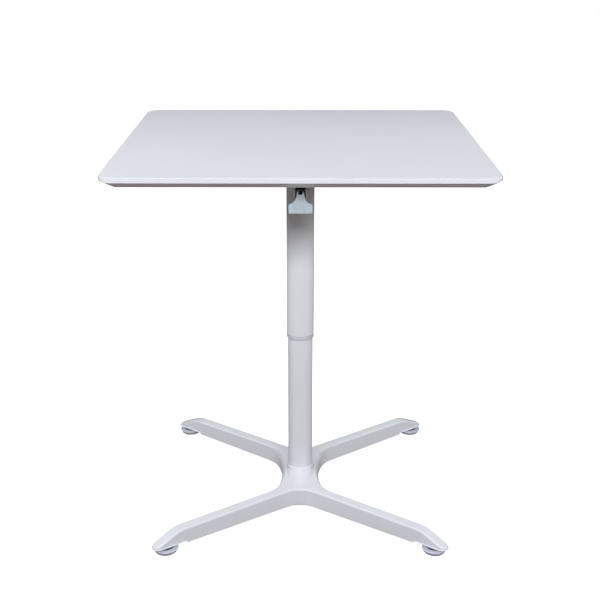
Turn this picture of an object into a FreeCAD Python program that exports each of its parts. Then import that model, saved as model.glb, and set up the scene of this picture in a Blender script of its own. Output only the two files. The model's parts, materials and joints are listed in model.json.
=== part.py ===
import FreeCAD, Part
import math
import os

# Telescoping pedestal table: square top on a two-stage round column that is
# held by a locking gas spring, on a four-toed die-cast base.
# Frame: origin on the floor under the column axis, +Z up, the release lever
# faces -Y. Millimetres.

V = FreeCAD.Vector
Rot = FreeCAD.Rotation
Pla = FreeCAD.Placement

os.makedirs("parts", exist_ok=True)
doc = FreeCAD.newDocument("PedestalTable")

# ---------------------------------------------------------------- dimensions
DIMS = [
    # tabletop
    ("top_size", 800.0), ("top_height", 895.0), ("top_thick", 25.0),
    ("top_corner", 35.0), ("top_band", 10.0), ("bevel_drop", 15.0),
    ("bevel_in", 30.0), ("top_edge_round", 1.6),
    ("insert_outer", 5.0), ("insert_bore", 3.05), ("insert_depth", 13.0),
    ("screw_ring_out", 215.0), ("screw_ring_in", 120.0),
    ("screw_shank", 3.0), ("screw_head", 6.0), ("screw_head_high", 3.4),
    # spider under the top
    ("spider_thick", 8.0), ("spider_arm_wide", 44.0), ("spider_arm_end", 226.0),
    ("spider_hub", 70.0), ("bolt_ring", 45.0), ("bolt_shank", 4.0),
    ("bolt_head", 8.0), ("bolt_len", 18.0),
    # column head
    ("head_bottom", 722.0), ("head_web_low", 745.0), ("head_web_top", 757.0),
    ("flange_low", 787.0), ("flange_thick", 4.5), ("flange_rad", 34.5),
    ("head_spigot_rad", 31.45), ("head_spigot_in", 26.0), ("neck_rad", 29.0),
    ("neck_in", 23.0), ("plate_rad", 62.0), ("plate_thick", 8.0),
    ("cheek_half", 12.0), ("slot_back", 14.0), ("cheek_notch", 6.0),
    # upper tube
    ("upper_rad", 33.0), ("upper_in", 31.5), ("upper_low", 420.0),
    ("window_half", 20.5), ("window_low", 764.0), ("window_corner", 3.0),
    # lower guide bush, its ring shows under the upper tube
    ("bush_low", 410.0), ("bush_top", 464.0), ("bush_in", 30.58),
    ("bush_spigot", 31.45), ("key_wide", 7.6), ("key_rad", 29.5),
    # lower tube
    ("lower_rad", 30.5), ("lower_in", 28.0), ("lower_low", 16.0),
    ("lower_top", 556.0), ("groove_wide", 8.0), ("groove_rad", 29.3),
    ("groove_low", 75.0), ("groove_top", 526.0),
    ("sleeve_low", 530.0), ("sleeve_top", 555.0), ("sleeve_rad", 31.42),
    ("foot_plate_thick", 10.0),
    # gas spring
    ("plug_low", 536.0), ("plug_rad", 27.95), ("neck_bore", 11.0),
    ("gas_rad", 14.0), ("gas_in", 12.0), ("gas_low", 275.0),
    ("gas_neck_top", 564.0), ("ring_nut_flats", 32.0), ("ring_nut_high", 6.0),
    ("rod_rad", 7.0), ("rod_run", 7.05), ("rod_end_rad", 5.0),
    ("rod_top", 764.0), ("rod_low", 452.0), ("pin_rad", 3.0),
    ("pin_run", 3.05), ("pin_top", 771.2), ("pin_low", 472.0),
    ("piston_low", 448.0), ("piston_top", 466.0), ("piston_rad", 11.9),
    ("rod_nut_flats", 17.0), ("rod_nut_high", 6.0),
    # release lever
    ("pivot_back", 14.0), ("pivot_high", 777.0), ("pivot_rad", 3.0),
    ("pivot_run", 3.06), ("pivot_half", 26.2), ("lever_thick", 3.6),
    ("paddle_half", 29.0), ("paddle_low_front", 48.0), ("paddle_low", 730.0),
    ("paddle_top_front", 32.0), ("paddle_top", 781.0),
    ("arm_in", 4.2), ("arm_out", 7.2), ("spacer_rad", 5.5),
    # base casting
    ("leg_angle", 36.2), ("leg_cross", 79.6), ("leg_half", 14.5),
    ("leg_high", 48.0), ("web_apex", 110.5), ("web_arc", 56.0),
    ("waist_half", 44.6), ("waist_arc", 310.0), ("waist_corner", 66.0),
    ("waist_half_top", 38.6), ("waist_arc_top", 290.0), ("flank_low", 37.0),
    ("waist_rise", 7.0),
    ("toe_tip", 402.2), ("toe_break", 338.0), ("toe_blend", 67.0),
    ("toe_slope", 24.7), ("toe_under", 13.5), ("toe_lip", 1.4),
    ("toe_step", 333.5), ("skirt_low", 3.0),
    ("skirt_end", 8.4), ("edge_round", 5.0), ("wall_thick", 4.5),
    ("collar_rad", 33.2), ("collar_top", 58.6), ("lip_top", 63.2),
    ("lip_rad", 31.2), ("boss_rad", 36.0),
    ("socket_rad", 30.55), ("boss_floor", 10.0), ("boss_floor_thick", 6.0),
    ("rib_thick", 3.5), ("foot_at", 382.9),
    # base bolt
    ("base_bolt_rad", 5.0), ("base_bolt_flats", 17.0), ("base_bolt_head", 6.4),
    ("base_washer_rad", 13.0), ("base_washer_thick", 1.6),
    # levelling feet
    ("bush_hole", 7.0), ("bush_seat", 15.2), ("bush_seat_top", 31.0),
    ("hex_recess", 9.0), ("stem_rad", 3.94), ("stem_bore", 4.0),
    ("stem_top", 30.0), ("stem_disc", 6.0), ("hex_flats", 13.0),
    ("hex_low", 11.2), ("hex_top", 14.8), ("pad_rad", 29.3),
    ("pad_crown", 10.6), ("pad_foot_rad", 26.2), ("pad_wide_at", 7.6),
    ("sole_rad", 25.8), ("sole_thick", 2.4),
]
sheet = doc.addObject("Spreadsheet::Sheet", "Params")
for row, (alias, number) in enumerate(DIMS, start=1):
    sheet.set("A%d" % row, alias)
    sheet.set("B%d" % row, str(number))
    sheet.setAlias("B%d" % row, alias)
doc.recompute()


def val(alias):
    return float(sheet.get(alias))


class E:
    """A signed sum of sheet cells and plain numbers: its value and its expression."""

    def __init__(self, *terms):
        self.value = 0.0
        text = ""
        for t in terms:
            if isinstance(t, (int, float)):
                self.value += t
                text += "%+.6f" % t
            else:
                coef, alias = t if isinstance(t, tuple) else (1.0, t)
                if alias.startswith("-"):
                    coef, alias = -coef, alias[1:]
                self.value += coef * val(alias)
                text += "%+.6f * Params.%s" % (coef, alias)
        self.text = text.lstrip("+")


def bind(obj, prop, e):
    """Sets a property from an E and keeps it bound to the sheet."""
    e = e if isinstance(e, E) else E(e)
    if "." not in prop:
        setattr(obj, prop, e.value)
    obj.setExpression(prop, e.text)


def place(obj, x=0.0, y=0.0, z=0.0, rot=None):
    x, y, z = [c if isinstance(c, E) else E(c) for c in (x, y, z)]
    obj.Placement = Pla(V(x.value, y.value, z.value), rot or Rot())
    for axis, c in (("x", x), ("y", y), ("z", z)):
        obj.setExpression("Placement.Base." + axis, c.text)


def origin_plane(body, role):
    for f in body.Origin.OriginFeatures:
        if f.Role == role:
            return f
    raise RuntimeError("no plane " + role)


def new_sketch(body, name, role, offset=None):
    sk = body.newObject("Sketcher::SketchObject", name)
    sk.AttachmentSupport = (origin_plane(body, role), [""])
    sk.MapMode = "FlatFace"
    if offset is not None:
        e = offset if isinstance(offset, E) else E(offset)
        sk.AttachmentOffset = Pla(V(0, 0, e.value), Rot())
        sk.setExpression("AttachmentOffset.Base.z", e.text)
    return sk


def locate(sk, geo, pos, x, y):
    """Fixes one sketch point at (x, y), each an E bound to the sheet."""
    import Sketcher
    for e, axis, kind in ((x, -2, "DistanceX"), (y, -1, "DistanceY")):
        if abs(e.value) < 1e-9:
            sk.addConstraint(Sketcher.Constraint("PointOnObject", geo, pos, axis))
        else:
            i = sk.addConstraint(Sketcher.Constraint(kind, -1, 1, geo, pos, e.value))
            sk.setExpression("Constraints[%d]" % i, e.text)


def outline(sk, pts):
    """Closed outline. pts: (x, y) or (x, y, radius); a radius makes the stretch
    from this point to the next an arc, negative when it bulges to the left."""
    import Sketcher
    pts = [tuple(c if isinstance(c, E) else E(c) for c in q) for q in pts]
    n = len(pts)
    ends = []
    for i in range(n):
        p, q = pts[i], pts[(i + 1) % n]
        a, b = V(p[0].value, p[1].value, 0), V(q[0].value, q[1].value, 0)
        if len(p) == 2:
            sk.addGeometry(Part.LineSegment(a, b), False)
            ends.append((1, 2))
        else:
            r = p[2].value
            mid, d = (a + b) * 0.5, b - a
            nrm = V(-d.y, d.x, 0)
            nrm.normalize()
            lift = math.sqrt(max(r * r - (d.Length / 2) ** 2, 0.0))
            # arc bulges to the right of the travel for r > 0
            c = mid + nrm * lift * (1 if r > 0 else -1)
            t0 = math.atan2(a.y - c.y, a.x - c.x)
            t1 = math.atan2(b.y - c.y, b.x - c.x)
            if r > 0:
                t1 += 2 * math.pi if t1 < t0 else 0
                arc = Part.ArcOfCircle(Part.Circle(c, V(0, 0, 1), abs(r)), t0, t1)
                ends.append((1, 2))
            else:
                t0 += 2 * math.pi if t0 < t1 else 0
                arc = Part.ArcOfCircle(Part.Circle(c, V(0, 0, 1), abs(r)), t1, t0)
                ends.append((2, 1))
            sk.addGeometry(arc, False)
    for i in range(n):
        j = (i + 1) % n
        sk.addConstraint(Sketcher.Constraint("Coincident", i, ends[i][1], j, ends[j][0]))
        locate(sk, i, ends[i][0], pts[i][0], pts[i][1])
        if len(pts[i]) == 3:
            k = sk.addConstraint(Sketcher.Constraint("Radius", i, abs(pts[i][2].value)))
            sign = "" if pts[i][2].value > 0 else "-1 * "
            sk.setExpression("Constraints[%d]" % k, sign + "(" + pts[i][2].text + ")")


def new_body(label):
    body = doc.addObject("PartDesign::Body", label)
    body.Label = label
    return body


def turned(label, pts):
    """A body turned about Z from an (r, z) outline."""
    body = new_body(label)
    sk = new_sketch(body, label + "_profile", "XZ_Plane")
    outline(sk, pts)
    rev = body.newObject("PartDesign::Revolution", label + "_turn")
    rev.Profile = sk
    rev.ReferenceAxis = (sk, ["V_Axis"])
    rev.Angle = 360.0
    doc.recompute()
    return body


def pad(body, name, role, pts, length, offset=None, symmetric=False, reverse=False):
    sk = new_sketch(body, name + "_sketch", role, offset)
    outline(sk, pts)
    f = body.newObject("PartDesign::Pad", name)
    f.Profile = sk
    bind(f, "Length", length)
    if symmetric:
        f.Midplane = True
    f.Reversed = reverse
    doc.recompute()
    return f


def pocket(body, name, role, pts, length, offset=None, reverse=False, symmetric=False):
    """A cut; it is turned round if it points away from the solid."""
    before = body.Shape.Volume
    sk = new_sketch(body, name + "_sketch", role, offset)
    outline(sk, pts)
    f = body.newObject("PartDesign::Pocket", name)
    f.Profile = sk
    bind(f, "Length", length)
    if symmetric:
        f.Midplane = True
    f.Reversed = reverse
    doc.recompute()
    if body.Shape.Volume > before - 1e-6:
        raise RuntimeError("pocket %s cuts nothing" % name)
    return f


def rect(x0, x1, y0, y1):
    return [(x0, y0), (x1, y0), (x1, y1), (x0, y1)]


def cyl(name, radius, height, x=0.0, y=0.0, z=0.0, rot=None):
    o = doc.addObject("Part::Cylinder", name)
    bind(o, "Radius", radius)
    bind(o, "Height", height)
    place(o, x, y, z, rot)
    return o


def cone(name, r1, r2, height, z=0.0):
    o = doc.addObject("Part::Cone", name)
    bind(o, "Radius1", r1)
    bind(o, "Radius2", r2)
    bind(o, "Height", height)
    place(o, 0.0, 0.0, z)
    return o


def box(name, lx, ly, lz, x, y, z, rot=None):
    o = doc.addObject("Part::Box", name)
    bind(o, "Length", lx)
    bind(o, "Width", ly)
    bind(o, "Height", lz)
    place(o, x, y, z, rot)
    return o


def fuse(name, items):
    o = doc.addObject("Part::MultiFuse", name)
    o.Shapes = items
    o.Refine = True
    return o


def cut(name, base, tool):
    o = doc.addObject("Part::Cut", name)
    o.Base = base
    o.Tool = tool
    o.Refine = True
    return o


def feature(label, shape):
    o = doc.addObject("Part::Feature", label)
    o.Label = label
    o.Shape = shape
    o.Placement = Pla()
    return o


def copies(label, shape, spots):
    """Identical fasteners: one solid per spot (x, y, turn about Z)."""
    out = []
    for x, y, turn in spots:
        c = shape.copy()
        c.Placement = Pla(V(x, y, 0), Rot(V(0, 0, 1), turn)).multiply(c.Placement)
        out.append(c)
    return feature(label, Part.makeCompound(out))


NODES = []


def keep(obj, label=None):
    if label:
        obj.Label = label
    NODES.append(obj)
    return obj


# ------------------------------------------------------------------ tabletop
under = val("top_height") - val("top_thick")
DIAG = [(1, 1), (-1, 1), (-1, -1), (1, -1)]
R2 = math.sqrt(0.5)
SCREWS = [(sx * r * R2, sy * r * R2, 0) for r in (val("screw_ring_out"), val("screw_ring_in"))
          for sx, sy in DIAG]

top = new_body("tabletop")
half = E((0.5, "top_size"))
nhalf = E((-0.5, "top_size"))
pad(top, "board", "XY_Plane", rect(nhalf, half, nhalf, half), E("top_thick"))


def edges_where(shape, test):
    return ["Edge%d" % (i + 1) for i, e in enumerate(shape.Edges) if test(e)]


f = top.newObject("PartDesign::Fillet", "corner_rounds")
f.Base = (top.Tip if top.Tip.Name != f.Name else doc.getObject("board"),
          edges_where(doc.getObject("board").Shape,
                      lambda e: abs(e.Vertexes[0].Z - e.Vertexes[-1].Z) > 1))
bind(f, "Radius", E("top_corner"))
doc.recompute()
ch = top.newObject("PartDesign::Chamfer", "reverse_bevel")
ch.Base = (doc.getObject("corner_rounds"),
           edges_where(doc.getObject("corner_rounds").Shape,
                       lambda e: max(abs(v.Z) for v in e.Vertexes) < 0.01))
ch.ChamferType = 1
bind(ch, "Size", E("bevel_drop"))
bind(ch, "Size2", E("bevel_in"))
doc.recompute()


def low_face_span(shape):
    zlow = shape.BoundBox.ZMin
    spans = [fc.BoundBox.XLength for fc in shape.Faces
             if abs(fc.BoundBox.ZMax - zlow) < 0.01]
    return max(spans) if spans else 0.0


want = val("top_size") - 2 * val("bevel_in")
if abs(low_face_span(ch.Shape) - want) > 0.5:
    ch.FlipDirection = True
    doc.recompute()
if abs(low_face_span(ch.Shape) - want) > 0.5:
    raise RuntimeError("tabletop bevel is wrong: %.1f" % low_face_span(ch.Shape))
f = top.newObject("PartDesign::Fillet", "top_rim")
f.Base = (ch, edges_where(ch.Shape, lambda e: min(v.Z for v in e.Vertexes) > val("top_thick") - 0.01))
bind(f, "Radius", E("top_edge_round"))
doc.recompute()


def circles(body, name, spots, radius, length, role="XY_Plane", offset=None, reverse=False):
    """A cut of round holes, each centre and radius bound to the sheet."""
    import Sketcher
    before = body.Shape.Volume
    sk = new_sketch(body, name + "_sketch", role, offset)
    for i, (x, y) in enumerate(spots):
        x, y = [c if isinstance(c, E) else E(c) for c in (x, y)]
        sk.addGeometry(Part.Circle(V(x.value, y.value, 0), V(0, 0, 1), radius.value), False)
        locate(sk, i, 3, x, y)
        k = sk.addConstraint(Sketcher.Constraint("Radius", i, radius.value))
        sk.setExpression("Constraints[%d]" % k, radius.text)
    f = body.newObject("PartDesign::Pocket", name)
    f.Profile = sk
    bind(f, "Length", length)
    f.Reversed = reverse
    doc.recompute()
    if body.Shape.Volume > before - 1e-6:
        f.Reversed = not reverse
        doc.recompute()
    if body.Shape.Volume > before - 1e-6:
        raise RuntimeError("holes %s cut nothing" % name)
    return f


spots = [(E((sx * R2, a)), E((sy * R2, a))) for a in ("screw_ring_out", "screw_ring_in")
         for sx, sy in DIAG]
circles(top, "insert_holes", spots, E("insert_outer"), E("insert_depth"))
place(top, z=E("top_height", "-top_thick"))
keep(top)

# threaded inserts pressed into the underside of the board
one = turned("insert_one", [
    (E("insert_bore"), E("top_height", "-top_thick")),
    (E("insert_outer"), E("top_height", "-top_thick")),
    (E("insert_outer"), E("top_height", "-top_thick", "insert_depth")),
    (E("insert_bore"), E("top_height", "-top_thick", "insert_depth")),
])
keep(copies("threaded_inserts", one.Shape, SCREWS))

# ------------------------------------------------------- spider and its bolts
spider_low = under - val("spider_thick")
parts = [cyl("spider_disc", E("spider_hub"), E("spider_thick"), z=E("top_height", "-top_thick", "-spider_thick"))]
for k, (sx, sy) in enumerate(DIAG):
    parts.append(cyl("spider_tip_%d" % k, E((0.5, "spider_arm_wide")), E("spider_thick"),
                     E((sx * R2, "spider_arm_end")), E((sy * R2, "spider_arm_end")),
                     E("top_height", "-top_thick", "-spider_thick")))
for k, ang in enumerate((45.0, 135.0)):
    ca, sa = math.cos(math.radians(ang)), math.sin(math.radians(ang))
    parts.append(box("spider_bar_%d" % k, E((2.0, "spider_arm_end")), E("spider_arm_wide"), E("spider_thick"),
                     E((-ca, "spider_arm_end"), (0.5 * sa, "spider_arm_wide")),
                     E((-sa, "spider_arm_end"), (-0.5 * ca, "spider_arm_wide")),
                     E("top_height", "-top_thick", "-spider_thick"), Rot(V(0, 0, 1), ang)))
holes = []
for k, (x, y, _) in enumerate(SCREWS):
    a = "screw_ring_out" if k < 4 else "screw_ring_in"
    sx, sy = DIAG[k % 4]
    holes.append(cyl("spider_hole_%d" % k, E("screw_shank", 0.4), E("spider_thick", 2.0),
                     E((sx * R2, a)), E((sy * R2, a)), E("top_height", "-top_thick", "-spider_thick", -1.0)))
for k in range(4):
    dx, dy = [(1, 0), (0, 1), (-1, 0), (0, -1)][k]
    holes.append(cyl("spider_bolt_%d" % k, E("bolt_shank", 0.3), E("spider_thick", 2.0),
                     E((dx, "bolt_ring")), E((dy, "bolt_ring")), E("top_height", "-top_thick", "-spider_thick", -1.0)))
    c = cone("spider_sink_%d" % k, E("bolt_shank", 0.3), E("bolt_head", 0.5), E(4.4), z=0.0)
    place(c, E((dx, "bolt_ring")), E((dy, "bolt_ring")), E("top_height", "-top_thick", -4.3))
    holes.append(c)
spider = keep(cut("top_spider", fuse("spider_blank", parts), fuse("spider_holes", holes)), "top_spider")

one = turned("top_screw_one", [
    (0, E("top_height", "-top_thick", "-spider_thick", "-screw_head_high")),
    (E("screw_head", -1.6), E("top_height", "-top_thick", "-spider_thick", "-screw_head_high")),
    (E("screw_head"), E("top_height", "-top_thick", "-spider_thick", "-screw_head_high", 1.5)),
    (E("screw_head"), E("top_height", "-top_thick", "-spider_thick")),
    (E("screw_shank"), E("top_height", "-top_thick", "-spider_thick")),
    (E("screw_shank"), E("top_height", "-top_thick", 9.0)),
    (0, E("top_height", "-top_thick", 9.0)),
])
pocket(one, "screw_socket", "XY_Plane",
       [(E(2.2), E(0)), (E(1.1), E(1.905)), (E(-1.1), E(1.905)), (E(-2.2), E(0)), (E(-1.1), E(-1.905)), (E(1.1), E(-1.905))],
       E(2.0), offset=E("top_height", "-top_thick", "-spider_thick", "-screw_head_high"), reverse=True)
keep(copies("top_screws", one.Shape, SCREWS))

one = turned("head_bolt_one", [
    (0, E("top_height", "-top_thick", (-1.0, "bolt_len"), -2.0)),
    (E("bolt_shank"), E("top_height", "-top_thick", (-1.0, "bolt_len"), -2.0)),
    (E("bolt_shank"), E("top_height", "-top_thick", -4.2)),
    (E("bolt_head"), E("top_height", "-top_thick", -0.4)),
    (E("bolt_head"), E("top_height", "-top_thick", -0.1)),
    (0, E("top_height", "-top_thick", -0.1)),
])
ring = [(val("bolt_ring"), 0, 0), (0, val("bolt_ring"), 0), (-val("bolt_ring"), 0, 0), (0, -val("bolt_ring"), 0)]
keep(copies("spider_bolts", one.Shape, ring))

# --------------------------------------------------------------- column head
plate_top = E("top_height", "-top_thick", "-spider_thick")
solid = [
    cyl("head_spigot", E("head_spigot_rad"), E("flange_low", "-head_bottom"), z=E("head_bottom")),
    cyl("head_flange", E("flange_rad"), E("flange_thick"), z=E("flange_low")),
    cyl("head_neck", E("neck_rad"), E("top_height", "-top_thick", "-spider_thick", "-flange_low", -2.0), z=E("flange_low", 2.0)),
    cyl("head_plate", E("plate_rad"), E("plate_thick"), z=E("top_height", "-top_thick", "-spider_thick", "-plate_thick")),
]
for k in range(4):
    ang = 45.0 + 90.0 * k
    ca, sa = math.cos(math.radians(ang)), math.sin(math.radians(ang))
    w = doc.addObject("Part::Wedge", "head_gusset_%d" % k)
    w.Xmin, w.Ymin, w.Zmin, w.X2min, w.Z2min = 0, 0, 0, 0, 0
    w.Xmax, w.Ymax, w.Zmax = 3.5, 26.0, 5.0
    w.X2max, w.Z2max = 3.5, 52.0
    # local Y runs up, local Z runs outward from the axis
    base = Rot(V(0, 0, 1), ang).multiply(Rot(V(0, 1, 0), 90)).multiply(Rot(V(0, 0, 1), 90))
    w.Placement = Pla(V(-1.75 * sa * -1 + 0 * ca, -1.75 * ca, plate_top.value - val("plate_thick") - 26.0), base)
    solid.append(w)
tools = [
    cyl("head_bore", E("head_spigot_in"), E("head_web_low", "-head_bottom", 1.0), z=E("head_bottom", -1.0)),
    cyl("head_rod_bore", E("rod_end_rad", 0.04), E("head_web_top", "-head_web_low", 2.0), z=E("head_web_low", -1.0)),
    box("head_slot", E((2.0, "cheek_half")), E("slot_back", 40.0), E("flange_low", "-head_web_top"),
        E("-cheek_half"), E(-40.0), E("head_web_top")),
    box("head_notch", E((2.0, "window_half")), 14.0, E("cheek_notch"), E("-window_half"), -34.0,
        E("flange_low", "-cheek_notch")),
    cyl("head_hollow", E("neck_in"), E("top_height", "-top_thick", "-spider_thick", "-flange_low", -9.0), z=E("flange_low", 10.0)),
    cyl("head_pivot_bore", E("pivot_rad"), 70.0, -35.0, E("-pivot_back"), E("pivot_high"), Rot(V(0, 1, 0), 90)),
]
for k in range(4):
    dx, dy = [(1, 0), (0, 1), (-1, 0), (0, -1)][k]
    tools.append(cyl("head_bolt_hole_%d" % k, E("bolt_shank", 0.02), E("plate_thick", 2.0),
                     E((dx, "bolt_ring")), E((dy, "bolt_ring")),
                     E("top_height", "-top_thick", "-spider_thick", "-plate_thick", -1.0)))
# two radial screws at the back hold the tube on the spigot
SIDE = [60.0, 120.0]
for k, ang in enumerate(SIDE):
    ca, sa = math.cos(math.radians(ang)), math.sin(math.radians(ang))
    tools.append(cyl("head_side_hole_%d" % k, 2.5, 14.0, E(22.0 * ca), E(22.0 * sa), E("head_bottom", 11.0),
                     Rot(V(0, 0, 1), V(ca, sa, 0))))
head = keep(cut("column_head", fuse("head_blank", solid), fuse("head_tools", tools)), "column_head")

# ---------------------------------------------------------------- upper tube
tube = turned("upper_tube", [
    (E("upper_in"), E("upper_low")), (E("upper_rad"), E("upper_low")),
    (E("upper_rad"), E("flange_low")), (E("upper_in"), E("flange_low")),
])
pocket(tube, "lever_window", "XZ_Plane", [
    (E("-window_half"), E("flange_low", 1.0)),
    (E("-window_half"), E("window_low", "window_corner"), E("window_corner")),
    (E("-window_half", "window_corner"), E("window_low")),
    (E("window_half", "-window_corner"), E("window_low"), E("window_corner")),
    (E("window_half"), E("window_low", "window_corner")),
    (E("window_half"), E("flange_low", 1.0)),
], E("upper_rad", 5.0), reverse=True)
if tube.Shape.isInside(V(0, -val("upper_rad") + 0.7, val("flange_low") - 5), 1e-4, True):
    doc.getObject("lever_window").Reversed = False
    doc.recompute()
sides = []
for k, ang in enumerate(SIDE):
    ca, sa = math.cos(math.radians(ang)), math.sin(math.radians(ang))
    sides.append(cyl("tube_side_hole_%d" % k, 3.0, 12.0, E(26.0 * ca), E(26.0 * sa), E("head_bottom", 11.0),
                     Rot(V(0, 0, 1), V(ca, sa, 0))))
tube.Label = "upper_tube_blank"
keep(cut("upper_tube_cut", tube, fuse("tube_side_holes", sides)), "upper_tube")

one = turned("side_screw_one", [
    (0, E(0)), (E(2.48), E(0)), (E(2.48), E(8.9)), (E(5.0), E(8.9)), (E(4.4), E(10.6)), (E(1.7), E(11.2)),
    (E(1.7), E(9.4)), (0, E(9.4)),
])
shapes = []
for ang in SIDE:
    ca, sa = math.cos(math.radians(ang)), math.sin(math.radians(ang))
    s1 = one.Shape.copy()
    r0 = val("upper_rad") - 8.9 + 0.35
    s1.Placement = Pla(V(r0 * ca, r0 * sa, val("head_bottom") + 11.0), Rot(V(0, 0, 1), V(ca, sa, 0)))
    shapes.append(s1)
keep(feature("head_screws", Part.makeCompound(shapes)))

# ---------------------------------------------------------- lower guide bush
bush = turned("lower_guide_bush", [
    (E("bush_in"), E("bush_low")), (E("upper_rad", -0.8), E("bush_low")),
    (E("upper_rad"), E("bush_low", 0.8)), (E("upper_rad"), E("upper_low", -0.35)),
    (E("upper_rad", -0.4), E("upper_low")), (E("bush_spigot"), E("upper_low")),
    (E("bush_spigot"), E("bush_top")), (E("bush_in"), E("bush_top")),
])
pad(bush, "key", "XY_Plane", rect(E((-0.5, "key_wide")), E((0.5, "key_wide")), E("key_rad"), E("bush_in", 0.35)),
    E("bush_top", "-bush_low", -3.0), offset=E("bush_low", 1.5))
keep(bush)

# ---------------------------------------------------------------- lower tube
low = turned("lower_tube", [
    (E("lower_in"), E("lower_low")), (E("lower_rad"), E("lower_low")),
    (E("lower_rad"), E("lower_top")), (E("lower_in"), E("lower_top")),
])
pocket(low, "key_groove", "XY_Plane",
       rect(E((-0.5, "groove_wide")), E((0.5, "groove_wide")), E("groove_rad"), E("lower_rad", 4.0)),
       E("groove_top", "-groove_low"), offset=E("groove_low"), reverse=True)
keep(low)

keep(turned("upper_guide_sleeve", [
    (E("lower_rad"), E("sleeve_low")), (E("sleeve_rad", -0.5), E("sleeve_low")),
    (E("sleeve_rad"), E("sleeve_low", 1.0)), (E("sleeve_rad"), E("sleeve_top", -1.0)),
    (E("sleeve_rad", -0.5), E("sleeve_top")), (E("lower_rad"), E("sleeve_top")),
]))
keep(turned("tube_foot_plate", [
    (E("base_bolt_rad"), E("lower_low")), (E("lower_in"), E("lower_low")),
    (E("lower_in"), E("lower_low", "foot_plate_thick")), (E("base_bolt_rad"), E("lower_low", "foot_plate_thick")),
]))
keep(turned("tube_plug", [
    (E("neck_bore"), E("plug_low")), (E("plug_rad"), E("plug_low")),
    (E("plug_rad"), E("lower_top")), (E("neck_bore"), E("lower_top")),
]))

# ---------------------------------------------------------------- gas spring
keep(turned("gas_cylinder", [
    (0, E("gas_low")), (E("gas_rad", -2.0), E("gas_low")), (E("gas_rad"), E("gas_low", 2.0)),
    (E("gas_rad"), E("plug_low")), (E("neck_bore"), E("plug_low")),
    (E("neck_bore"), E("gas_neck_top")), (E("rod_rad", 1.4), E("gas_neck_top")),
    (E("rod_rad", 1.4), E("plug_low", -7.0)), (E("gas_in"), E("plug_low", -7.0)),
    (E("gas_in"), E("gas_low", 5.0)), (0, E("gas_low", 5.0)),
]))
keep(turned("rod_seal", [
    (E("rod_run"), E("plug_low", -5.0)), (E("rod_rad", 1.4), E("plug_low", -5.0)),
    (E("rod_rad", 1.4), E("gas_neck_top", -1.0)), (E("rod_run"), E("gas_neck_top", -1.0)),
]))


def hexagon(flats, turn=0.0):
    c = 1.0 / math.sqrt(3.0)
    return [(E((c * math.cos(math.radians(60 * k + turn)), flats)),
             E((c * math.sin(math.radians(60 * k + turn)), flats))) for k in range(6)]


nut = new_body("cylinder_nut")
pad(nut, "cylinder_nut_hex", "XY_Plane", hexagon("ring_nut_flats", 7.0), E("ring_nut_high"), offset=E("lower_top"))
circles(nut, "cylinder_nut_bore", [(E(0), E(0))], E("neck_bore"), E("ring_nut_high", 2.0), offset=E("lower_top", -1.0))
keep(nut)

keep(turned("gas_rod", [
    (E("pin_run"), E("pin_low", -6.0)), (0, E("pin_low", -6.0)), (0, E("rod_low")),
    (E("rod_end_rad"), E("rod_low")), (E("rod_end_rad"), E("piston_top")),
    (E("rod_rad"), E("piston_top")), (E("rod_rad"), E("head_web_low")),
    (E("rod_end_rad"), E("head_web_low")), (E("rod_end_rad"), E("rod_top", -0.8)),
    (E("rod_end_rad", -0.8), E("rod_top")), (E("pin_run"), E("rod_top")),
]))
keep(turned("gas_piston", [
    (E("rod_end_rad"), E("piston_low")), (E("piston_rad", -0.6), E("piston_low")),
    (E("piston_rad"), E("piston_low", 0.6)), (E("piston_rad"), E("piston_low", 6.0)),
    (E("piston_rad", -1.6), E("piston_low", 6.0)), (E("piston_rad", -1.6), E("piston_low", 10.0)),
    (E("piston_rad"), E("piston_low", 10.0)), (E("piston_rad"), E("piston_top", -0.6)),
    (E("piston_rad", -0.6), E("piston_top")), (E("rod_end_rad"), E("piston_top")),
]))
nut = new_body("rod_nut")
pad(nut, "rod_nut_hex", "XY_Plane", hexagon("rod_nut_flats", 30.0), E("rod_nut_high"), offset=E("head_web_top"))
circles(nut, "rod_nut_bore", [(E(0), E(0))], E("rod_end_rad"), E("rod_nut_high", 2.0), offset=E("head_web_top", -1.0))
keep(nut)
keep(turned("release_pin", [
    (0, E("pin_low")), (E("pin_rad"), E("pin_low")), (E("pin_rad"), E("pin_top", -1.2)),
    (E("pin_rad", -1.8), E("pin_top")), (0, E("pin_top")),
]))

# ------------------------------------------------------------- release lever
pivot = V(0, -val("pivot_back"), val("pivot_high"))
low_f = V(0, -val("paddle_low_front"), val("paddle_low"))
top_f = V(0, -val("paddle_top_front"), val("paddle_top"))
up = (top_f - low_f)
span = up.Length
up.normalize()
inward = V(1, 0, 0).cross(up) * -1   # from the front face into the plate
if inward.y < 0:
    inward = inward * -1


def on_plate(x, z):
    """Point of the paddle's front plane at height z."""
    k = (z - val("paddle_low")) / (val("paddle_top") - val("paddle_low"))
    return low_f + (top_f - low_f) * k + V(x, 0, 0)


def rounded_edges(pts):
    """Closed outline through (x, z, radius) corners, each rounded by a tangent arc."""
    n = len(pts)
    ends, made = [], []
    for i in range(n):
        p, q, r = (V(*pts[(i + k) % n][:2], 0) for k in (-1, 0, 1))
        a_, b_ = (p - q), (r - q)
        a_.normalize()
        b_.normalize()
        half = a_.getAngle(b_) / 2
        rad = pts[i][2]
        t = rad / math.tan(half)
        mid = a_ + b_
        mid.normalize()
        ends.append((q + a_ * t, q + mid * (rad / math.sin(half) - rad), q + b_ * t))
    for i in range(n):
        s0, m0, e0 = (on_plate(c.x, c.y) for c in ends[i])
        made.append(Part.Arc(s0, m0, e0).toShape())
        nxt = ends[(i + 1) % n][0]
        if (nxt - ends[i][2]).Length > 1e-4:
            made.append(Part.LineSegment(e0, on_plate(nxt.x, nxt.y)).toShape())
    return made


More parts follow.
